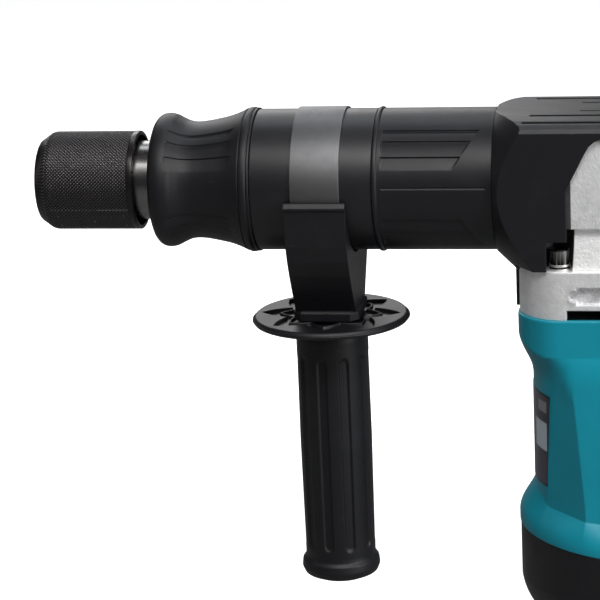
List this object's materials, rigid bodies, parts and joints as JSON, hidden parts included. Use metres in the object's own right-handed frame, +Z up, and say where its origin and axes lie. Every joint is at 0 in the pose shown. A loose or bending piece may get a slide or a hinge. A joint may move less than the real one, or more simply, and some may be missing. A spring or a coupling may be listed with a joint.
{
  "type": "electric jackhammer",
  "caption": "Electric demolition hammer: knurled hex chuck, banded barrel with side handle and guard, hanging motor, rear D-handle with trigger.",
  "frame": {"origin": "centre of the mouth of the tool holder, on the barrel axis", "axes": "+X along the barrel axis from the mouth back to the D-handle, +Z up, +Y to the side away from the lock button; the motor and the side handle hang along -Z"},
  "size_m": [0.4397, 0.1006, 0.2755],
  "materials": {
    "black_steel": "black oxide, knurled",
    "bright_steel": "ground steel",
    "band_steel": "satin steel strip",
    "black_paint": "satin black coat on cast metal",
    "black_rubber": "soft moulded rubber",
    "black_plastic": "moulded, fine texture",
    "teal_plastic": "moulded, half gloss",
    "cast_aluminium": "rough cast and blasted",
    "copper": "enamelled copper",
    "laminations": "stacked sheet steel",
    "carbon": "pressed carbon",
    "nylon": "glass-filled nylon",
    "label": "blank printed foil"
  },
  "bodies": {
    "machine": {"tool_holder": "bright_steel", "barrel": "black_paint", "front_grip_cover": "black_rubber", "rear_barrel_cover": "black_plastic", "cylinder_liner": "bright_steel", "bearing_outer_races": "bright_steel", "motor_bracket": "cast_aluminium", "bracket_bolts": "black_steel", "crank_housing": "cast_aluminium", "crank_shroud": "black_plastic", "housing_rear_cover": "black_plastic", "motor_housing": "teal_plastic", "tail_cover": "black_plastic", "tail_screws": "black_steel", "stator_core": "laminations", "field_coils": "copper", "brush_bridge": "nylon", "brush_holders": "nylon", "brush_caps": "black_plastic", "carbon_brushes": "carbon", "brush_springs": "bright_steel", "rating_label": "label", "handle_left_shell": "black_plastic", "handle_right_shell": "black_plastic", "rear_soft_grip": "black_rubber", "handle_screws": "black_steel", "cable_gland": "black_rubber", "switch": "nylon", "trigger_pin": "bright_steel", "chuck_spring": "bright_steel", "trigger_spring": "bright_steel"},
    "chuck_sleeve": {"chuck_sleeve": "black_steel"},
    "upper_ball": {"lock_ball_upper": "bright_steel"},
    "lower_ball": {"lock_ball_lower": "bright_steel"},
    "anvil": {"anvil": "bright_steel", "anvil_ring": "black_rubber"},
    "striker": {"striker": "bright_steel", "striker_ring": "black_rubber"},
    "piston": {"piston": "bright_steel", "piston_ring": "black_rubber", "wrist_pin": "bright_steel"},
    "connecting_rod": {"connecting_rod": "bright_steel"},
    "crankshaft": {"crankshaft": "bright_steel", "crank_gear": "bright_steel", "crank_bearing_inner_races": "bright_steel"},
    "armature": {"armature_shaft": "bright_steel", "armature_core": "laminations", "armature_windings": "copper", "commutator": "copper", "cooling_fan": "nylon", "motor_bearing_inner_races": "bright_steel"},
    "side_handle": {"band_clamp": "band_steel", "handle_saddle": "black_plastic", "clamp_bolt": "black_steel", "hand_guard": "black_plastic"},
    "side_grip": {"side_grip": "black_rubber", "grip_nut": "bright_steel"},
    "trigger": {"trigger": "black_plastic"},
    "lock_button": {"lock_button": "black_plastic"}
  },
  "joints": [
    {"name": "sleeve_slide", "type": "slide", "parent": "machine", "child": "chuck_sleeve", "axis": [1, 0, 0], "range_m": [0, 0.0075], "stiffness_N_per_m": 1500, "springref_m": -0.008, "deforming": ["chuck_spring"]},
    {"name": "upper_ball_slide", "type": "slide", "parent": "machine", "child": "upper_ball", "axis": [0, 0, 1], "range_m": [0, 0.0033]},
    {"name": "lower_ball_slide", "type": "slide", "parent": "machine", "child": "lower_ball", "axis": [0, 0, -1], "range_m": [0, 0.0033]},
    {"name": "anvil_slide", "type": "slide", "parent": "machine", "child": "anvil", "axis": [1, 0, 0], "range_m": [-0.008, 0]},
    {"name": "striker_slide", "type": "slide", "parent": "machine", "child": "striker", "axis": [1, 0, 0], "range_m": [-0.013, 0.02]},
    {"name": "piston_slide", "type": "slide", "parent": "machine", "child": "piston", "axis": [1, 0, 0], "range_m": [0, 0.032]},
    {"name": "rod_swing", "type": "hinge", "parent": "piston", "child": "connecting_rod", "pos_m": [0.2064, 0, 0], "axis": [0, 0, 1], "range_deg": [-17, 17]},
    {"name": "crank_spin", "type": "hinge", "parent": "machine", "child": "crankshaft", "pos_m": [0.2764, 0, 0], "axis": [0, 0, 1], "continuous": true},
    {"name": "armature_spin", "type": "hinge", "parent": "machine", "child": "armature", "pos_m": [0.298, 0, 0], "axis": [0, 0, 1], "continuous": true},
    {"name": "side_handle_swivel", "type": "hinge", "parent": "machine", "child": "side_handle", "pos_m": [0.1507, 0, 0], "axis": [1, 0, 0], "continuous": true},
    {"name": "side_grip_screw", "type": "hinge", "parent": "side_handle", "child": "side_grip", "pos_m": [0.1507, 0, -0.1], "axis": [0, 0, 1], "continuous": true},
    {"name": "trigger_squeeze", "type": "hinge", "parent": "machine", "child": "trigger", "pos_m": [0.4005, 0, -0.033], "axis": [0, -1, 0], "range_deg": [0, 6], "stiffness_Nm_per_rad": 2.5, "springref_deg": -4.58, "deforming": ["trigger_spring"]},
    {"name": "lock_button_push", "type": "slide", "parent": "machine", "child": "lock_button", "axis": [0, 1, 0], "range_m": [0, 0.003], "stiffness_N_per_m": 400, "springref_m": -0.003}
  ],
  "couplings": [
    {"joint": "upper_ball_slide", "follows": "sleeve_slide", "ratio": 0.428},
    {"joint": "lower_ball_slide", "follows": "sleeve_slide", "ratio": 0.428},
    {"joint": "armature_spin", "follows": "crank_spin", "ratio": -5}
  ]
}
